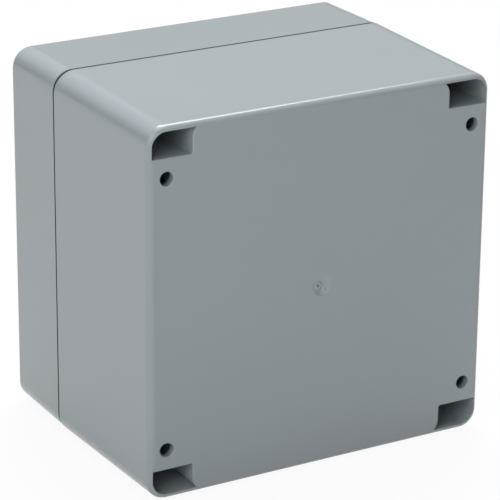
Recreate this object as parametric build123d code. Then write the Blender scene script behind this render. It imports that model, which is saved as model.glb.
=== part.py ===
from build123d import *
import os
from math import radians, tan

# A square wall-mounting enclosure, moulded in plastic. The base screws to a wall through four
# holes that lie outside the seal, and a deep lid closes it with four captive corner screws.
# Each piece is drawn as if the box lay on its back: x across, y up the wall, z out of the wall
# with the wall face at zero. At the end each piece is stood up against a wall behind +Y.

# Overall size, at the base's rim, which is the widest section
width = 120.0
height = 120.0
depth = 90.0
base_depth = 59.5
seam_gap = 0.7
corner_radius = 6.9

# Base shell
base_draft = 0.9
back_edge_radius = 2.0
side_wall = 3.0
back_wall = 2.5
cavity_draft = 0.8

# Lid shell
lid_inset = 0.15
lid_draft = 0.7
lid_edge_radius = 0.8
lid_wall = 2.8

# Wall screw holes, and the channels down which their screws are put in
mount_from_side = 7.0
mount_from_end = 17.0
mount_hole_diameter = 4.4
mount_hole_rim = 0.15
channel_width = 9.2
channel_corner = 1.5
lid_channel_depth = 21.0
lid_channel_inset = 1.6

# Pockets that hollow the four corners from behind
pocket_skin_x = 1.25
pocket_skin_y = 1.65
pocket_web = 2.6
pocket_from_side = 15.6
pocket_from_end = 10.7
pocket_depth = 41.0
pocket_draft = 0.5
mouth_round = 0.3

# Corners of the room inside
room_corner = 2.2
block_corner = 1.6
sharpest_corner = 0.5

# Seal: a tongue on the base's rim enters a groove in the lid and meets a gasket there
tongue_width = 1.4
tongue_height = 2.4
groove_clearance = 0.3
groove_depth = 3.9
gasket_lift = 0.15
gasket_side_gap = 0.15
gasket_bevel = 0.4
inner_rib = 1.2
groove_floor = 1.5

# Lid screws, their inserts and the rings that keep them in the lid
screw_from_side = 8.9
screw_from_end = 6.6
thread_diameter = 4.0
thread_length = 12.0
shank_diameter = 3.1
screw_tip_chamfer = 0.6
screw_engagement = 8.6
head_diameter = 7.6
head_height = 3.0
head_bevel = 0.5
head_side_gap = 0.5
counterbore_depth = 6.0
cross_width = 1.1
cross_span = 4.4
cross_depth = 1.9
lid_screw_hole = 4.5
lid_core_diameter = 6.4
lid_seat_depth = 9.0
insert_diameter = 5.6
insert_length = 8.0
insert_recess = 0.2
insert_groove = 0.35
insert_band = 2.4
thread_clearance = 0.06
screw_well_depth = 6.0
screw_well_clearance = 0.25
retainer_thickness = 1.2
retainer_clearance = 0.06
retainer_side_gap = 0.1

# Board supports on the base's floor, and guides for boards on its side walls
boss_from_side = 24.0
boss_diameter = 7.0
boss_foot = 0.8
boss_height = 7.0
boss_pilot_diameter = 2.9
boss_pilot_depth = 6.0
guide_offset = 22.0
guide_gap = 2.0
guide_rib = 1.4
guide_reach = 1.8
guide_stop = 10.0

# Gate mark in the middle of the back: a dished recess with a broken-off stub and a burr in it
gate_diameter = 6.7
gate_sink = 0.8
stub_offset = (0.9, 0.05)
stub_diameter = 2.7
stub_crown = 1.5
stub_bore = 0.9
stub_height = 0.55
stub_lip = 0.33
stub_skirt = 0.22
burr_offset = (-1.3, -1.85)
burr_diameter = 1.3
burr_top = 0.1

# Core pins that stood a little off their cavities left bevels at three pocket mouths, each given
# by its corner and how far it reaches out, and at the rim of one wall screw hole
mouth_bevels = {"lower_right": 0.65, "lower_left": 0.45, "upper_left": 0.3}
mouth_bevel_depth = 0.45
mouth_bevel_lean = 62
hole_bevel_diameter = 5.0
hole_bevel_shift = (0.3, 0.1)
hole_bevel_depth = 0.6

# The corners, in the order in which four_corners gives them
corner_names = ["upper_right", "lower_right", "upper_left", "lower_left"]

# Places worked out from the sizes above
back_inset = base_depth * tan(radians(base_draft))
lid_edge = base_depth + seam_gap
rim_grow = (base_depth - back_wall) * tan(radians(cavity_draft))
lid_room_top = depth - lid_wall
lid_room_grow = rim_grow - (lid_room_top - lid_edge) * tan(radians(cavity_draft))
room_half_x = width / 2 - side_wall - rim_grow
room_half_y = height / 2 - side_wall - rim_grow
mount_x = width / 2 - mount_from_side
mount_y = height / 2 - mount_from_end
pocket_inner_x = width / 2 - pocket_from_side
pocket_inner_y = height / 2 - pocket_from_end
screw_x = width / 2 - screw_from_side
screw_y = height / 2 - screw_from_end
boss_x = width / 2 - boss_from_side
boss_y = height / 2 - boss_from_side
screw_block_x = pocket_inner_x - pocket_web
screw_block_y = pocket_inner_y - pocket_web
channel_block_x = mount_x - channel_width / 2 - pocket_web
channel_block_y = mount_y - channel_width / 2 - pocket_web
head_seat = depth - counterbore_depth
lid_shoulder = head_seat - lid_seat_depth
insert_top = base_depth - insert_recess
screw_tip = insert_top - screw_engagement
tongue_top = base_depth + tongue_height
groove_top = lid_edge + groove_depth


def shell_outline(inset):
    """The enclosure cut across, all round 'inset' inside the rim."""
    return RectangleRounded(width - 2 * inset, height - 2 * inset, corner_radius - inset)


def room_outline(grow=0.0):
    """The room between the corner blocks, cut across, with its walls 'grow' further out."""
    quarter = [
        (screw_block_x + grow, room_half_y + grow),
        (screw_block_x + grow, screw_block_y + grow),
        (channel_block_x + grow, screw_block_y + grow),
        (channel_block_x + grow, channel_block_y + grow),
        (room_half_x + grow, channel_block_y + grow),
    ]
    hollow = room_corner + grow
    proud = max(block_corner - grow, sharpest_corner)
    notch = min(hollow, channel_block_x - screw_block_x - proud - sharpest_corner)
    rounds = [hollow, proud, notch, proud, hollow]
    points = []
    radii = []
    for side_x, side_y in ((1, 1), (1, -1), (-1, -1), (-1, 1)):
        turn = 1 if side_x == side_y else -1
        points += [(side_x * x, side_y * y) for x, y in quarter][::turn]
        radii += rounds[::turn]
    return make_face(FilletPolyline(*points, radius=radii, close=True))


def band(inner, outer):
    """A closed band beside the room's wall, between two distances from it at the rim."""
    return room_outline(rim_grow + outer) - room_outline(rim_grow + inner)


def pocket_outline():
    """A corner pocket cut across: what is left between the skin and the room's wall."""
    skin_x = back_inset + pocket_skin_x
    skin_y = back_inset + pocket_skin_y
    skin = RectangleRounded(width - 2 * skin_x, height - 2 * skin_y, corner_radius - skin_x)
    corner = Pos(width / 2, pocket_inner_y + height / 2) * Rectangle(width, height)
    return skin & corner - room_outline(pocket_web)


def channel_outline(inset=0.0):
    """The way in for a wall screw, cut across, in the first corner."""
    side = channel_width - 2 * inset
    return Pos(mount_x, mount_y) * RectangleRounded(side, side, channel_corner)


def rise(outline, low, high):
    """A straight solid over an outline."""
    return extrude(Pos(0, 0, low) * outline, high - low)


def drafted(outline, start, end, draft):
    """A solid over an outline, whose walls lean outwards by 'draft' degrees from start to end."""
    return extrude(Pos(0, 0, start) * outline, end - start, taper=-draft)


def turned(*points):
    """A solid turned about z from points of radius and height."""
    return revolve(Plane.XZ * make_face(Polyline(*points, close=True)), Axis.Z)


def four_corners(shape):
    """A shape in the corner where x and y are positive, and its three mirror images."""
    right = [shape, mirror(shape, about=Plane.XZ)]
    return right + [mirror(piece, about=Plane.YZ) for piece in right]


def cut(body, tools):
    """The body less each of the tools."""
    for tool in tools:
        body = body - tool
    return body


def joined(body, pieces):
    """The body with each of the pieces."""
    for piece in pieces:
        body = body + piece
    return body


def board_boss():
    """A board support with a flared foot and a pilot hole, on the floor in the first corner."""
    top = back_wall + boss_height
    radius = boss_diameter / 2
    stem = turned(
        (0, back_wall),
        (radius + boss_foot, back_wall),
        (radius, back_wall + boss_foot),
        (radius, top),
        (0, top),
    )
    pilot = rise(Circle(boss_pilot_diameter / 2), top - boss_pilot_depth, top)
    return Pos(boss_x, boss_y) * (stem - pilot)


def board_guides(low, high):
    """Pairs of ribs on the four side walls, each pair holding the edge of a board."""
    ribs = []
    for turn in range(4):
        half = room_half_x if turn % 2 == 0 else room_half_y
        reach = guide_reach + rim_grow + side_wall / 2
        for offset in (guide_offset, -guide_offset):
            for side in (-1, 1):
                across = offset + side * (guide_gap + guide_rib) / 2
                place = Pos(half - guide_reach + reach / 2, across)
                rib = rise(place * Rectangle(reach, guide_rib), low, high)
                ribs.append(Rot(0, 0, 90 * turn) * rib)
    return ribs


def mouth_rims(body):
    """The edges of the wall face round its pockets, and those round its wall screw holes."""
    rims = []
    for edge in body.faces().sort_by(Axis.Z)[0].edges():
        middle = edge.center()
        if abs(middle.X) > width / 4 and abs(middle.Y) > height / 4:
            rims.append(edge)
    return [edge for edge in rims if not edge.is_closed], [edge for edge in rims if edge.is_closed]


def eased_mouths(body):
    """The base with its wall screw holes bevelled and its pockets rounded on the wall face."""
    body = chamfer(mouth_rims(body)[1], mount_hole_rim)
    return fillet(mouth_rims(body)[0], mouth_round)


def mouth_slopes():
    """The bevels of the pocket mouths: each leans into its pocket from a mouth that reaches out."""
    slopes = []
    for name, reach in mouth_bevels.items():
        corner = corner_names.index(name)
        side = 1 if name.endswith("right") else -1
        mouth = Pos(side * reach, 0) * pocket_outline()
        slope = drafted(mouth, 0, mouth_bevel_depth, -mouth_bevel_lean)
        slopes.append(four_corners(slope)[corner])
    return slopes


def hole_slope():
    """The bevel of one wall screw hole, which ends inside the hole."""
    radius = hole_bevel_diameter / 2
    cone = turned((0, 0), (radius, 0), (radius - hole_bevel_depth, hole_bevel_depth), (0, hole_bevel_depth))
    return Pos(mount_x + hole_bevel_shift[0], -mount_y + hole_bevel_shift[1]) * cone


def gate_mark(body):
    """The back plate with its dished gate mark, the stub's broken ring and a burr."""
    radius = gate_diameter / 2
    ball = (radius**2 + gate_sink**2) / (2 * gate_sink)
    body = body - Pos(0, 0, gate_sink - ball) * Sphere(ball)
    stub = turned(
        (stub_bore / 2, gate_sink),
        (stub_bore / 2, gate_sink - stub_lip),
        (stub_crown / 2, gate_sink - stub_height),
        (stub_diameter / 2, gate_sink - stub_skirt),
        (stub_diameter / 2, gate_sink),
    )
    floor = Rectangle(gate_diameter, gate_diameter)
    burr = Pos(*burr_offset, gate_sink) * Sphere(burr_diameter / 2)
    burr = burr & rise(floor, burr_top, 2 * gate_sink)
    return body + Pos(*stub_offset) * stub + burr


def base_shell():
    """The base moulding: room, corner blocks, channels, pockets, tongue and supports."""
    body = drafted(shell_outline(back_inset), 0, base_depth, base_draft)
    body = fillet(body.edges().group_by(Axis.Z)[0], back_edge_radius)
    body = body + rise(band(0, tongue_width), base_depth - side_wall, tongue_top)
    room = drafted(room_outline(), back_wall, base_depth, cavity_draft)
    body = body - room - rise(room_outline(rim_grow), base_depth, tongue_top)

    pocket = drafted(pocket_outline(), 0, pocket_depth, -pocket_draft)
    channel = rise(channel_outline(), back_wall, base_depth)
    hole = Pos(mount_x, mount_y) * rise(Circle(mount_hole_diameter / 2), 0, back_wall)
    seat = rise(Circle(insert_diameter / 2), insert_top - insert_length, base_depth)
    well_radius = thread_diameter / 2 + screw_well_clearance
    well_floor = insert_top - insert_length - screw_well_depth
    well = rise(Circle(well_radius), well_floor, base_depth)
    screw_hole = Pos(screw_x, screw_y) * (seat + well)
    for tool in (pocket, channel, hole, screw_hole):
        body = cut(body, four_corners(tool))
    body = eased_mouths(body)

    body = cut(body, mouth_slopes() + [hole_slope()])
    body = joined(body, four_corners(board_boss()))
    body = joined(body, board_guides(back_wall, base_depth - guide_stop))
    return gate_mark(body)


def lid_shell():
    """The lid moulding: deep cover, screw columns, gasket groove and inner rib."""
    body = drafted(shell_outline(lid_inset), lid_edge, depth, -lid_draft)
    body = fillet(body.edges().group_by(Axis.Z)[-1], lid_edge_radius)
    room = drafted(room_outline(lid_room_grow), lid_room_top, lid_edge, cavity_draft)
    groove_outer = tongue_width + groove_clearance
    groove = rise(room_outline(rim_grow + groove_outer), lid_edge, groove_top)
    body = body - room - groove
    rib_outer = -groove_clearance
    rib_inner = rib_outer - inner_rib
    body = body + rise(band(rib_inner, rib_outer), lid_edge, groove_top)
    body = body + rise(band(rib_inner, tongue_width), groove_top, groove_top + groove_floor)

    channel = rise(channel_outline(lid_channel_inset), lid_edge, lid_edge + lid_channel_depth)
    through = rise(Circle(lid_screw_hole / 2), lid_edge, depth)
    core = rise(Circle(lid_core_diameter / 2), lid_edge, lid_shoulder)
    counterbore = rise(Circle(head_diameter / 2 + head_side_gap), head_seat, depth)
    screw_hole = Pos(screw_x, screw_y) * (through + core + counterbore)
    for tool in (channel, screw_hole):
        body = cut(body, four_corners(tool))
    return body


def lid_gasket():
    """The sealing cord that lies on the floor of the lid's groove."""
    cord = band(-groove_clearance + gasket_side_gap, tongue_width + groove_clearance - gasket_side_gap)
    body = rise(cord, tongue_top + gasket_lift, groove_top)
    return chamfer(body.edges().group_by(Axis.Z)[0], gasket_bevel)


def lid_screw():
    """A captive screw with a waisted shank, standing in its lid hole in the first corner."""
    top = head_seat + head_height
    head_radius = head_diameter / 2
    thread_top = screw_tip + thread_length
    thread_radius = thread_diameter / 2
    shank_radius = shank_diameter / 2
    neck = thread_radius - shank_radius
    body = turned(
        (0, screw_tip),
        (thread_radius - screw_tip_chamfer, screw_tip),
        (thread_radius, screw_tip + screw_tip_chamfer),
        (thread_radius, thread_top - neck),
        (shank_radius, thread_top),
        (shank_radius, head_seat),
        (head_radius, head_seat),
        (head_radius, top),
        (0, top),
    )
    body = chamfer(body.edges().group_by(Axis.Z)[-1], head_bevel)
    arm = Rectangle(cross_span, cross_width)
    cross = rise(arm + Rot(0, 0, 90) * arm, top - cross_depth, top)
    return Pos(screw_x, screw_y) * (body - cross)


def threaded_insert():
    """A brass bush with two gripping bands, seated in the base's first corner block."""
    low = insert_top - insert_length
    bore = thread_diameter / 2 + thread_clearance
    outer = insert_diameter / 2
    waist = outer - insert_groove
    body = turned(
        (bore, low),
        (waist, low),
        (outer, low + insert_groove),
        (outer, low + insert_band),
        (waist, low + insert_band + insert_groove),
        (waist, insert_top - insert_band - insert_groove),
        (outer, insert_top - insert_band),
        (outer, insert_top),
        (bore, insert_top),
    )
    return Pos(screw_x, screw_y) * body


def screw_retainer():
    """The ring under the lid's shoulder that keeps a loosened screw in the lid."""
    outer = Circle(lid_core_diameter / 2 - retainer_side_gap)
    inner = Circle(shank_diameter / 2 + retainer_clearance)
    return Pos(screw_x, screw_y) * rise(outer - inner, lid_shoulder - retainer_thickness, lid_shoulder)


def stood_up(shape):
    """The piece turned so that its back faces +Y, over an origin at the box's foot."""
    wall = Plane(origin=(0, depth / 2, height / 2), x_dir=(1, 0, 0), z_dir=(0, -1, 0))
    return wall.location * shape


pieces = {
    "base_shell": base_shell(),
    "lid_shell": lid_shell(),
    "lid_gasket": lid_gasket(),
    "threaded_inserts": Compound(four_corners(threaded_insert())),
    "screw_retainers": Compound(four_corners(screw_retainer())),
}
for corner, screw in zip(corner_names, four_corners(lid_screw())):
    pieces["lid_screw_" + corner] = screw

os.makedirs("parts", exist_ok=True)
for name, shape in pieces.items():
    export_step(stood_up(shape), "parts/" + name + ".step")
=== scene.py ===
import math

import bmesh
import bpy
from mathutils import Matrix, Vector


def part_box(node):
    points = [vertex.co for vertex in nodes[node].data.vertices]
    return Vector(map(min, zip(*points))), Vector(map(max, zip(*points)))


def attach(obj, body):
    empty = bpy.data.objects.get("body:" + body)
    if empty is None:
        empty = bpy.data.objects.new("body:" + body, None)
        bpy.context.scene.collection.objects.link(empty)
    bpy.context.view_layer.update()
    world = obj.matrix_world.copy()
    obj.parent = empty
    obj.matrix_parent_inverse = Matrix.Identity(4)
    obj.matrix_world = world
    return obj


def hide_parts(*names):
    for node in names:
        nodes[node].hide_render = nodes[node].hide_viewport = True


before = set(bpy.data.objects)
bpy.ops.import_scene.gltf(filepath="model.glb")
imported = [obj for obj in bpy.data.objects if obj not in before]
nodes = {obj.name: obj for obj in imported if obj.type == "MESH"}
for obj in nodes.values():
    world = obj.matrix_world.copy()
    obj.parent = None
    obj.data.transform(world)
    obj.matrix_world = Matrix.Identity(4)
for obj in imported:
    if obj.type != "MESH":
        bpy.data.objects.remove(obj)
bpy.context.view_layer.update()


# Camera
# It stands behind the box, up and to the left of it, where the photograph was taken from, with a
# long lens. The small lean is the photograph's own.
picture_size = 500
focal_length = 2757.5
sensor_width = 36.0
camera_place = Vector((0.40690, 0.70605, 0.36658))
camera_azimuth = math.radians(149.992)
camera_elevation = math.radians(20.833)
camera_lean = math.radians(0.497)

backwards = Vector((
    math.sin(camera_azimuth) * math.cos(camera_elevation),
    -math.cos(camera_azimuth) * math.cos(camera_elevation),
    math.sin(camera_elevation),
))
level = Vector((math.cos(camera_azimuth), math.sin(camera_azimuth), 0))
rightwards = math.cos(camera_lean) * level + math.sin(camera_lean) * backwards.cross(level)
upwards = backwards.cross(rightwards)
camera_turn = Matrix((rightwards, upwards, backwards)).transposed()
camera_lens = bpy.data.cameras.new("box_camera")
camera_lens.sensor_width = sensor_width
camera_lens.lens = focal_length * sensor_width / picture_size
camera = bpy.data.objects.new("box_camera", camera_lens)
camera.matrix_world = Matrix.Translation(camera_place) @ camera_turn.to_4x4()
bpy.context.scene.collection.objects.link(camera)
bpy.context.scene.camera = camera


# Base shell
# The half that screws to the wall is one injection moulding in blue-grey plastic, with its room,
# corner blocks, pockets and supports. The mould leaves a smooth face with a faint grain, whose
# colour drifts a little away from the gate. Along the joint to the lid a dark line of painted
# shade stands in for the shadow in the gap, and it is wider on top.
housing_colour = (0.297, 0.335, 0.357, 1)
housing_roughness = 0.17
etch_size = 0.00035
etch_depth = 0.000004
flow_size = 0.05
housing_variety = 0.03
grain_detail = 2.0
drift_detail = 3.0
# painted shade in the joint: its colour, the joint's middle along Y, half its width, and how far it
# reaches
joint_shade_colour = (0.035, 0.034, 0.032, 1)
joint_middle = -0.01485
joint_half_width = 0.00035
shade_reach_sides = 0.00034
shade_reach_on_top = 0.0011
shade_depth = 0.0008
shade_roughness = 1.0
# the rim's half width and corner radius, and a length well past the box's depth
skin_half = 0.06
skin_corner = 0.0069
past_the_box = 1.0


def socket(group, name, kind, way, value=None):
    """Adds a named input or output to a node group."""
    made = group.interface.new_socket(name=name, in_out=way, socket_type=kind)
    if value is not None:
        made.default_value = value


def moulded_grain():
    """A node group for an etched mould's fine grain and the slow drift of a melt's colour."""
    group = bpy.data.node_groups.new("moulded_grain", "ShaderNodeTree")
    socket(group, "Grain per metre", "NodeSocketFloat", "INPUT", 2500.0)
    socket(group, "Drift per metre", "NodeSocketFloat", "INPUT", 20.0)
    socket(group, "Grain height", "NodeSocketFloat", "OUTPUT")
    socket(group, "Drift", "NodeSocketFloat", "OUTPUT")
    make = group.nodes.new
    link = group.links.new
    given = make("NodeGroupInput")
    result = make("NodeGroupOutput")
    place = make("ShaderNodeTexCoord")
    grain = make("ShaderNodeTexNoise")
    grain.inputs["Detail"].default_value = grain_detail
    drift = make("ShaderNodeTexNoise")
    drift.inputs["Detail"].default_value = drift_detail
    for texture, rate in ((grain, "Grain per metre"), (drift, "Drift per metre")):
        link(place.outputs["Object"], texture.inputs["Vector"])
        link(given.outputs[rate], texture.inputs["Scale"])
    link(grain.outputs["Fac"], result.inputs["Grain height"])
    link(drift.outputs["Fac"], result.inputs["Drift"])
    return group


def mixed_colour(material, share, low, high):
    """A colour that goes from low to high with a share."""
    mix = material.node_tree.nodes.new("ShaderNodeMix")
    mix.data_type = "RGBA"
    mix.inputs[6].default_value = low
    mix.inputs[7].default_value = high
    material.node_tree.links.new(share, mix.inputs[0])
    return mix.outputs[2]


def ranged(material, share, low, high):
    """A value that goes from low to high with a share."""
    span = material.node_tree.nodes.new("ShaderNodeMapRange")
    span.inputs["To Min"].default_value = low
    span.inputs["To Max"].default_value = high
    material.node_tree.links.new(share, span.inputs["Value"])
    return span.outputs["Result"]


def shade(colour, factor):
    """The same colour, darker or lighter."""
    return tuple(part * factor for part in colour[:3]) + (1,)


def bumped(material, height, depth):
    """Gives a material's surface a relief, with its depth in metres."""
    tree = material.node_tree
    bump = tree.nodes.new("ShaderNodeBump")
    bump.inputs["Strength"].default_value = 1.0
    bump.inputs["Distance"].default_value = depth
    tree.links.new(height, bump.inputs["Height"])
    tree.links.new(bump.outputs["Normal"], tree.nodes["Principled BSDF"].inputs["Normal"])


grain_group = moulded_grain()


def grained(name, colour, variety, roughness, grain_size, grain_depth, drift_size):
    """A material with a fine grain and a slow drift of its colour. Sizes are in metres."""
    material = bpy.data.materials.new(name)
    material.use_nodes = True
    tree = material.node_tree
    surface = tree.nodes["Principled BSDF"]
    texture = tree.nodes.new("ShaderNodeGroup")
    texture.node_tree = grain_group
    texture.inputs["Grain per metre"].default_value = 1 / grain_size
    texture.inputs["Drift per metre"].default_value = 1 / drift_size
    drift = texture.outputs["Drift"]
    darker = shade(colour, 1 - variety)
    lighter = shade(colour, 1 + variety)
    tree.links.new(mixed_colour(material, drift, darker, lighter), surface.inputs["Base Color"])
    tree.links.new(ranged(material, drift, roughness - variety, roughness + variety),
                   surface.inputs["Roughness"])
    bumped(material, texture.outputs["Grain height"], grain_depth)
    return material


def painted_joint_shade():
    """A node group whose mask of painted shade is one in the outer part of the joint between the
    shells and fades out beside it, more slowly on top, as a painted shadow in the gap."""
    inside_corner = skin_half - skin_corner
    group = bpy.data.node_groups.new("painted_joint_shade", "ShaderNodeTree")
    socket(group, "Painted shade", "NodeSocketFloat", "OUTPUT")
    result = group.nodes.new("NodeGroupOutput")
    place = group.nodes.new("ShaderNodeTexCoord")
    parts = group.nodes.new("ShaderNodeSeparateXYZ")
    away = group.nodes.new("ShaderNodeMath")
    away.operation = "SUBTRACT"
    away.inputs[1].default_value = joint_middle
    distance = group.nodes.new("ShaderNodeMath")
    distance.operation = "ABSOLUTE"
    facing = group.nodes.new("ShaderNodeSeparateXYZ")
    reach = group.nodes.new("ShaderNodeMapRange")
    reach.inputs["To Min"].default_value = joint_half_width + shade_reach_sides
    reach.inputs["To Max"].default_value = joint_half_width + shade_reach_on_top
    fade = group.nodes.new("ShaderNodeMapRange")
    fade.inputs["From Min"].default_value = joint_half_width
    fade.inputs["To Min"].default_value = 1.0
    fade.inputs["To Max"].default_value = 0.0
    # how far a place lies inside the rim: folding the four quarters into one and taking off the
    # straight part leaves the distance from the middle of the corner's round
    centred = group.nodes.new("ShaderNodeVectorMath")
    centred.operation = "SUBTRACT"
    centred.inputs[1].default_value = (0, 0, skin_half)
    folded = group.nodes.new("ShaderNodeVectorMath")
    folded.operation = "ABSOLUTE"
    beyond = group.nodes.new("ShaderNodeVectorMath")
    beyond.operation = "SUBTRACT"
    beyond.inputs[1].default_value = (inside_corner, past_the_box, inside_corner)
    from_corner = group.nodes.new("ShaderNodeVectorMath")
    from_corner.operation = "MAXIMUM"
    outwards = group.nodes.new("ShaderNodeVectorMath")
    outwards.operation = "LENGTH"
    at_skin = group.nodes.new("ShaderNodeMapRange")
    at_skin.inputs["From Min"].default_value = skin_corner - 2 * shade_depth
    at_skin.inputs["From Max"].default_value = skin_corner - shade_depth
    shade_mask = group.nodes.new("ShaderNodeMath")
    shade_mask.operation = "MULTIPLY"
    group.links.new(place.outputs["Object"], centred.inputs[0])
    group.links.new(centred.outputs["Vector"], folded.inputs[0])
    group.links.new(folded.outputs["Vector"], beyond.inputs[0])
    group.links.new(beyond.outputs["Vector"], from_corner.inputs[0])
    group.links.new(from_corner.outputs["Vector"], outwards.inputs[0])
    group.links.new(outwards.outputs["Value"], at_skin.inputs["Value"])
    group.links.new(at_skin.outputs["Result"], shade_mask.inputs[1])
    group.links.new(place.outputs["Object"], parts.inputs["Vector"])
    group.links.new(parts.outputs["Y"], away.inputs[0])
    group.links.new(away.outputs["Value"], distance.inputs[0])
    group.links.new(distance.outputs["Value"], fade.inputs["Value"])
    group.links.new(place.outputs["Normal"], facing.inputs["Vector"])
    group.links.new(facing.outputs["Z"], reach.inputs["Value"])
    group.links.new(reach.outputs["Result"], fade.inputs["From Max"])
    group.links.new(fade.outputs["Result"], shade_mask.inputs[0])
    group.links.new(shade_mask.outputs["Value"], result.inputs["Painted shade"])
    return group


def finish_node(name, material):
    """Gives a node of the frame its finish."""
    mesh = nodes[name].data
    mesh.materials.clear()
    mesh.materials.append(material)


housing = grained("housing_plastic", housing_colour, housing_variety, housing_roughness,
                  etch_size, etch_depth, flow_size)
housing_tree = housing.node_tree
housing_surface = housing_tree.nodes["Principled BSDF"]
# the dark line at the joint is painted shade: its mask darkens the base colour and makes it matt
joint_shade = housing_tree.nodes.new("ShaderNodeGroup")
joint_shade.node_tree = painted_joint_shade()
shaded_colour = housing_tree.nodes.new("ShaderNodeMix")
shaded_colour.data_type = "RGBA"
shaded_colour.inputs[7].default_value = joint_shade_colour
housing_tree.links.new(joint_shade.outputs["Painted shade"], shaded_colour.inputs[0])
housing_tree.links.new(housing_surface.inputs["Base Color"].links[0].from_socket, shaded_colour.inputs[6])
housing_tree.links.new(shaded_colour.outputs[2], housing_surface.inputs["Base Color"])
dull = housing_tree.nodes.new("ShaderNodeMix")
dull.inputs[3].default_value = shade_roughness
housing_tree.links.new(joint_shade.outputs["Painted shade"], dull.inputs[0])
housing_tree.links.new(housing_surface.inputs["Roughness"].links[0].from_socket, dull.inputs[2])
housing_tree.links.new(dull.outputs[0], housing_surface.inputs["Roughness"])
finish_node("base_shell", housing)


# Threaded inserts
# Four brass bushes, turned from bar with two knurled bands, sit in the base's corner blocks. The
# plastic was moulded round them, and the lid screws turn in them.
brass_colour = (0.72, 0.55, 0.26, 1)
brass_roughness = 0.3
brass_marks_per_metre = 9000.0
mark_detail = 1.0
mark_depth = 0.00001
tarnish_per_metre = 300.0
tarnish_darkest = 0.9
tarnish_lightest = 1.05
roughness_drop = 0.06
roughness_rise = 0.08
insert_low, insert_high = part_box("threaded_inserts")
insert_radius = 0.0028
insert_half_height = (insert_high[2] - insert_low[2]) / 2
insert_axis = Vector((insert_high[0] - insert_radius, 0, insert_half_height - insert_radius))
insert_middle = Vector((0, 0, (insert_low[2] + insert_high[2]) / 2))


def turning_marks():
    """A node group for the fine rings that a cutting tool leaves round an axis along Y."""
    group = bpy.data.node_groups.new("turning_marks", "ShaderNodeTree")
    socket(group, "From the axis", "NodeSocketVector", "INPUT")
    socket(group, "Marks per metre", "NodeSocketFloat", "INPUT", 4000.0)
    socket(group, "Mark height", "NodeSocketFloat", "OUTPUT")
    socket(group, "Tarnish", "NodeSocketFloat", "OUTPUT")
    make = group.nodes.new
    link = group.links.new
    given = make("NodeGroupInput")
    result = make("NodeGroupOutput")
    flat = make("ShaderNodeVectorMath")
    flat.operation = "MULTIPLY"
    flat.inputs[1].default_value = (1, 0, 1)
    link(given.outputs["From the axis"], flat.inputs[0])
    radius = make("ShaderNodeVectorMath")
    radius.operation = "LENGTH"
    link(flat.outputs["Vector"], radius.inputs[0])
    parts = make("ShaderNodeSeparateXYZ")
    link(given.outputs["From the axis"], parts.inputs["Vector"])
    ring = make("ShaderNodeCombineXYZ")
    link(radius.outputs["Value"], ring.inputs["X"])
    link(parts.outputs["Y"], ring.inputs["Y"])
    mark = make("ShaderNodeTexNoise")
    mark.inputs["Detail"].default_value = mark_detail
    link(ring.outputs["Vector"], mark.inputs["Vector"])
    link(given.outputs["Marks per metre"], mark.inputs["Scale"])
    link(mark.outputs["Fac"], result.inputs["Mark height"])
    tarnish = make("ShaderNodeTexNoise")
    tarnish.inputs["Scale"].default_value = tarnish_per_metre
    link(given.outputs["From the axis"], tarnish.inputs["Vector"])
    link(tarnish.outputs["Fac"], result.inputs["Tarnish"])
    return group


marks_group = turning_marks()


def turned_metal(name, colour, roughness, marks_per_metre, axis_from=None):
    """A turned metal. Where one mesh holds four like pieces, axis_from gives their middle and how
    far from it the axis of one of them lies."""
    material = bpy.data.materials.new(name)
    material.use_nodes = True
    tree = material.node_tree
    surface = tree.nodes["Principled BSDF"]
    surface.inputs["Metallic"].default_value = 1.0
    place = tree.nodes.new("ShaderNodeTexCoord").outputs["Object"]
    if axis_from:
        middle, axis = axis_from
        for operation, value in (("SUBTRACT", middle), ("ABSOLUTE", None), ("SUBTRACT", axis)):
            step = tree.nodes.new("ShaderNodeVectorMath")
            step.operation = operation
            tree.links.new(place, step.inputs[0])
            if value:
                step.inputs[1].default_value = value
            place = step.outputs["Vector"]
    texture = tree.nodes.new("ShaderNodeGroup")
    texture.node_tree = marks_group
    texture.inputs["Marks per metre"].default_value = marks_per_metre
    tree.links.new(place, texture.inputs["From the axis"])
    tarnish = texture.outputs["Tarnish"]
    darker = shade(colour, tarnish_darkest)
    lighter = shade(colour, tarnish_lightest)
    tree.links.new(mixed_colour(material, tarnish, darker, lighter), surface.inputs["Base Color"])
    glossier = roughness - roughness_drop
    duller = roughness + roughness_rise
    tree.links.new(ranged(material, tarnish, glossier, duller), surface.inputs["Roughness"])
    bumped(material, texture.outputs["Mark height"], mark_depth)
    return material


brass = turned_metal("insert_brass", brass_colour, brass_roughness, brass_marks_per_metre,
                     (insert_middle, insert_axis))
finish_node("threaded_inserts", brass)


# Lid shell
# The cover is a second moulding in the same plastic from a mould with the same etching, so it
# matches the base. Its four counterbored holes take the screws, and its groove takes the gasket.
finish_node("lid_shell", housing)


# Lid gasket
# One closed cord of black foamed rubber lies in the lid's groove, where the base's rim presses
# it. Its skin is matt and slightly pitted.
rubber_colour = (0.022, 0.022, 0.024, 1)
rubber_variety = 0.12
rubber_roughness = 0.75
pit_size = 0.0005
pit_depth = 0.00006
rubber_drift_size = 0.01
rubber = grained("gasket_rubber", rubber_colour, rubber_variety, rubber_roughness,
                 pit_size, pit_depth, rubber_drift_size)
finish_node("lid_gasket", rubber)


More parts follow.
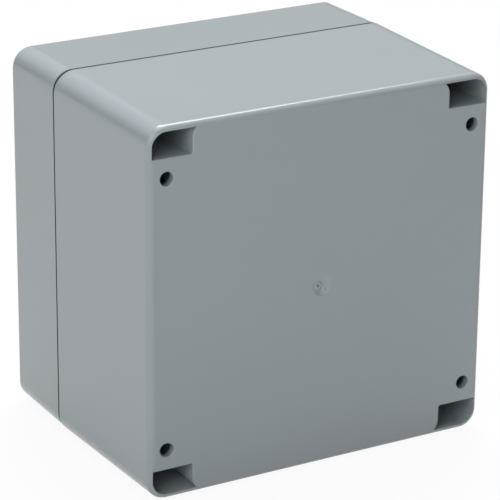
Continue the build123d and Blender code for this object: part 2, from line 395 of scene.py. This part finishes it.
# Lid screws
# Four captive screws in passivated stainless steel hold the lid. Each has a cylinder head with a
# cross recess, a waisted shank and a rolled M4 thread. The solid's plain wall is their thread's
# crest, so the thread is cut into it here.
steel_colour = (0.62, 0.62, 0.60, 1)
steel_roughness = 0.27
steel_marks_per_metre = 6000.0
screw_names = ("upper_right", "lower_right", "upper_left", "lower_left")
screw_low, screw_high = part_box("lid_screw_" + screw_names[0])
screw_length = screw_high[1] - screw_low[1]
head_radius = (screw_high[0] - screw_low[0]) / 2
head_height = 0.003
head_edge_round = 0.0006
thread_radius = 0.002
thread_pitch = 0.0007
thread_depth = 0.00043
thread_length = 0.012
shank_radius = 0.00155
tip_bevel = 0.0006
recess_span = 0.0022
recess_width = 0.0011
recess_depth = 0.0019
recess_floor_span = 0.0009
round_steps = 64
edge_steps = 6
crest_share = 0.125
flank_share = 0.3125
weld_distance = 0.000002
shortest_edge = 0.000001
sharp_angle = math.radians(35)


def thread_profile(phase):
    """How deep the thread is cut at a share of its pitch: crest, flank, root and flank."""
    past_crest = phase % 1.0 - crest_share
    if past_crest <= 0:
        return 0.0
    to_crest = 1.0 - crest_share - past_crest
    return thread_depth * min(past_crest / flank_share, to_crest / flank_share, 1.0)


def thread_envelope(height):
    """The widest the screw may be at a height above its tip."""
    at_tip = thread_radius - tip_bevel + height
    at_neck = shank_radius + thread_length - height
    return max(min(thread_radius, at_tip, at_neck), shank_radius - thread_depth)


def point_at(mesh, radius, angle, height):
    """A point at a distance from the screw's axis."""
    return mesh.verts.new((radius * math.cos(angle), radius * math.sin(angle), height))


def ring_of(mesh, radius, height):
    """A ring of points round the screw's axis."""
    points = []
    for step in range(round_steps):
        points.append(point_at(mesh, radius, 2 * math.pi * step / round_steps, height))
    return points


def skin(mesh, low, high):
    """A band of faces between two rings."""
    for step in range(round_steps):
        after = (step + 1) % round_steps
        mesh.faces.new((low[step], low[after], high[after], high[step]))


def thread_mesh(mesh):
    """The rolled thread: rows of points that climb round the axis by one pitch a turn."""
    phases = (0.0, crest_share, crest_share + flank_share / 2, crest_share + flank_share,
              1.0 - flank_share, 1.0 - flank_share / 2)
    turns = math.ceil(thread_length / thread_pitch) + 1
    rows = []
    for turn in range(-1, turns):
        for phase in phases:
            row = []
            for step in range(round_steps + 1):
                share = step / round_steps
                height = min(max((turn + phase + share) * thread_pitch, 0.0), thread_length)
                radius = min(thread_radius - thread_profile(phase), thread_envelope(height))
                row.append(point_at(mesh, radius, 2 * math.pi * share, height))
            rows.append(row)
    for low, high in zip(rows, rows[1:]):
        for step in range(round_steps):
            mesh.faces.new((low[step], low[step + 1], high[step + 1], high[step]))


def cross_cutter():
    """The tapered cross that is punched into the head, as an object."""
    outlines = []
    for height, span in ((screw_length + head_edge_round, recess_span),
                         (screw_length - recess_depth, recess_floor_span)):
        half = recess_width / 2
        corners = [(half, half), (half, span), (-half, span), (-half, half)]
        outline = []
        for quarter in range(4):
            turn = Matrix.Rotation(quarter * math.pi / 2, 2)
            outline += [tuple(turn @ Vector(corner)) + (height,) for corner in corners[:3]]
        outlines.append(outline)
    mesh = bmesh.new()
    top, bottom = [[mesh.verts.new(point) for point in outline] for outline in outlines]
    mesh.faces.new(top)
    mesh.faces.new(reversed(bottom))
    for here in range(len(top)):
        after = (here + 1) % len(top)
        mesh.faces.new((top[here], bottom[here], bottom[after], top[after]))
    bmesh.ops.recalc_face_normals(mesh, faces=mesh.faces)
    data = bpy.data.meshes.new("cross_cutter")
    mesh.to_mesh(data)
    mesh.free()
    cutter = bpy.data.objects.new("cross_cutter", data)
    bpy.context.scene.collection.objects.link(cutter)
    return cutter


def screw_mesh():
    """One lid screw, standing on its tip with its axis along Z."""
    mesh = bmesh.new()
    thread_mesh(mesh)
    head_seat = screw_length - head_height
    head_edge = screw_length - head_edge_round
    rings = [ring_of(mesh, shank_radius, thread_length), ring_of(mesh, shank_radius, head_seat),
             ring_of(mesh, head_radius, head_seat), ring_of(mesh, head_radius, head_edge)]
    for step in range(1, edge_steps + 1):
        turn = step / edge_steps * math.pi / 2
        rings.append(ring_of(mesh, head_radius - head_edge_round * (1 - math.cos(turn)),
                             screw_length - head_edge_round * (1 - math.sin(turn))))
    for low, high in zip(rings, rings[1:]):
        skin(mesh, low, high)
    mesh.faces.new(rings[-1])
    bmesh.ops.remove_doubles(mesh, verts=mesh.verts, dist=weld_distance)
    bmesh.ops.dissolve_degenerate(mesh, edges=mesh.edges, dist=shortest_edge)
    bmesh.ops.holes_fill(mesh, edges=[edge for edge in mesh.edges if edge.is_boundary], sides=0)
    bmesh.ops.recalc_face_normals(mesh, faces=mesh.faces)
    data = bpy.data.meshes.new("lid_screw")
    mesh.to_mesh(data)
    mesh.free()
    blank = bpy.data.objects.new("screw_blank", data)
    bpy.context.scene.collection.objects.link(blank)
    cutter = cross_cutter()
    punch = blank.modifiers.new("recess", "BOOLEAN")
    punch.operation = "DIFFERENCE"
    punch.solver = "EXACT"
    punch.object = cutter
    punched = blank.evaluated_get(bpy.context.evaluated_depsgraph_get())
    cut_mesh = bpy.data.meshes.new_from_object(punched)
    bpy.data.objects.remove(blank)
    bpy.data.objects.remove(cutter)
    cut_mesh.transform(Matrix.Rotation(math.pi / 2, 4, "X"))
    cut_mesh.shade_smooth()
    cut_mesh.set_sharp_from_angle(angle=sharp_angle)
    return cut_mesh


screw_steel = turned_metal("screw_steel", steel_colour, steel_roughness, steel_marks_per_metre)
one_screw = screw_mesh()
one_screw.materials.clear()
one_screw.materials.append(screw_steel)
for name in screw_names:
    low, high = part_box("lid_screw_" + name)
    screw = bpy.data.objects.new("threaded_screw_" + name, one_screw.copy())
    screw.location = ((low[0] + high[0]) / 2, high[1], (low[2] + high[2]) / 2)
    bpy.context.scene.collection.objects.link(screw)
    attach(screw, name + "_screw")
    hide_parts("lid_screw_" + name)


# Screw retainers
# Four rings punched from natural nylon sit under the lid's shoulders, round the screws' shanks,
# and keep a loosened screw from falling out.
nylon_colour = (0.75, 0.74, 0.70, 1)
nylon_variety = 0.04
nylon_roughness = 0.5
nylon_grain_size = 0.0004
nylon_grain_depth = 0.00001
nylon_drift_size = 0.004
nylon_translucency = 0.3
nylon_light_reach = (0.0008, 0.0007, 0.0005)
nylon = grained("retainer_nylon", nylon_colour, nylon_variety, nylon_roughness,
                nylon_grain_size, nylon_grain_depth, nylon_drift_size)
nylon_surface = nylon.node_tree.nodes["Principled BSDF"]
nylon_surface.inputs["Subsurface Weight"].default_value = nylon_translucency
nylon_surface.inputs["Subsurface Radius"].default_value = nylon_light_reach
nylon_surface.inputs["Subsurface Scale"].default_value = 1.0
finish_node("screw_retainers", nylon)


# Table and studio
# A plain white table stands in a studio with a white ceiling, whose walls look white to the
# camera but are dimmer in reflections. The table keeps the box's soft shadow. Five softboxes
# light the box, from above, from behind and from the left and right of the camera.
table_half = 3.0
table_colour = (0.8, 0.8, 0.8, 1)
table_white = 0.93
wall_white = 0.3
wall_top = math.radians(12)
ceiling_foot = math.radians(30)
studio_middle = Vector((0, 0, 0.06))


def seen_directly(tree):
    """One for what the camera sees, straight or in a reflection or through glass, and else zero."""
    rays = tree.nodes.new("ShaderNodeLightPath")
    seen = rays.outputs["Is Camera Ray"]
    for kind in ("Is Glossy Ray", "Is Transmission Ray"):
        either = tree.nodes.new("ShaderNodeMath")
        either.operation = "MAXIMUM"
        tree.links.new(seen, either.inputs[0])
        tree.links.new(rays.outputs[kind], either.inputs[1])
        seen = either.outputs["Value"]
    return seen


table_mesh = bpy.data.meshes.new("table")
table_corners = [(-table_half, -table_half, 0), (table_half, -table_half, 0),
                 (table_half, table_half, 0), (-table_half, table_half, 0)]
table_mesh.from_pydata(table_corners, [], [(0, 1, 2, 3)])
table = bpy.data.objects.new("table", table_mesh)
bpy.context.scene.collection.objects.link(table)
table_paint = bpy.data.materials.new("table_paint")
table_paint.use_nodes = True
table_tree = table_paint.node_tree
table_surface = table_tree.nodes["Principled BSDF"]
table_surface.inputs["Base Color"].default_value = table_colour
table_surface.inputs["Roughness"].default_value = 1.0
table_surface.inputs["Specular IOR Level"].default_value = 0.0
table_glow = table_tree.nodes.new("ShaderNodeEmission")
table_mix = table_tree.nodes.new("ShaderNodeMixShader")
table_share = table_tree.nodes.new("ShaderNodeMath")
table_share.operation = "MULTIPLY"
table_share.inputs[1].default_value = table_white
table_tree.links.new(seen_directly(table_tree), table_share.inputs[0])
table_tree.links.new(table_share.outputs["Value"], table_mix.inputs["Fac"])
table_tree.links.new(table_surface.outputs["BSDF"], table_mix.inputs[1])
table_tree.links.new(table_glow.outputs["Emission"], table_mix.inputs[2])
table_output = table_tree.nodes["Material Output"]
table_tree.links.new(table_mix.outputs["Shader"], table_output.inputs["Surface"])
table_mesh.materials.append(table_paint)

world = bpy.data.worlds.new("studio")
bpy.context.scene.world = world
world.use_nodes = True
backdrop = world.node_tree.nodes["Background"]
backdrop.inputs["Color"].default_value = (1, 1, 1, 1)
world_tree = world.node_tree
looking = world_tree.nodes.new("ShaderNodeTexCoord")
looking_parts = world_tree.nodes.new("ShaderNodeSeparateXYZ")
ceiling = world_tree.nodes.new("ShaderNodeMapRange")
ceiling.interpolation_type = "SMOOTHSTEP"
ceiling.inputs["From Min"].default_value = math.sin(wall_top)
ceiling.inputs["From Max"].default_value = math.sin(ceiling_foot)
ceiling.inputs["To Min"].default_value = wall_white
camera_rays = world_tree.nodes.new("ShaderNodeLightPath")
straight = world_tree.nodes.new("ShaderNodeMath")
straight.operation = "MAXIMUM"
shown = world_tree.nodes.new("ShaderNodeMath")
shown.operation = "MULTIPLY"
world_tree.links.new(looking.outputs["Generated"], looking_parts.inputs["Vector"])
world_tree.links.new(looking_parts.outputs["Z"], ceiling.inputs["Value"])
world_tree.links.new(ceiling.outputs["Result"], straight.inputs[0])
world_tree.links.new(camera_rays.outputs["Is Camera Ray"], straight.inputs[1])
world_tree.links.new(straight.outputs["Value"], shown.inputs[0])
world_tree.links.new(seen_directly(world_tree), shown.inputs[1])
world_tree.links.new(shown.outputs["Value"], backdrop.inputs["Strength"])


def hang_softbox(name, azimuth, elevation, distance, width, height, brightness):
    """Hangs a softbox that faces the box. Its azimuth goes from +X towards +Y. Its angles are in
    degrees and its lengths in metres."""
    lamp = bpy.data.lights.new(name, "AREA")
    lamp.shape = "RECTANGLE"
    lamp.size = width
    lamp.size_y = height
    lamp.energy = math.pi * width * height * brightness
    softbox = bpy.data.objects.new(name, lamp)
    turn = math.radians(azimuth)
    lift = math.radians(elevation)
    level_share = math.cos(lift)
    way = Vector((math.cos(turn) * level_share, math.sin(turn) * level_share, math.sin(lift)))
    softbox.location = studio_middle + way * distance
    softbox.rotation_euler = way.to_track_quat("Z", "Y").to_euler()
    bpy.context.scene.collection.objects.link(softbox)


# each softbox's azimuth, elevation, distance, width, height and brightness
hang_softbox("softbox_above", 90, 88, 1.0, 0.8, 0.8, 2.4)
hang_softbox("softbox_low_left", 14, 8, 1.2, 0.3, 0.3, 6.0)
hang_softbox("softbox_high_left", 42, 28, 1.1, 0.7, 0.7, 2.9)
hang_softbox("softbox_beside_camera", 94, 10, 1.4, 1.2, 0.5, 1.0)
hang_softbox("softbox_high_behind", 240, 64, 1.2, 0.7, 0.7, 8.9)
bpy.context.scene.view_settings.view_transform = "Standard"
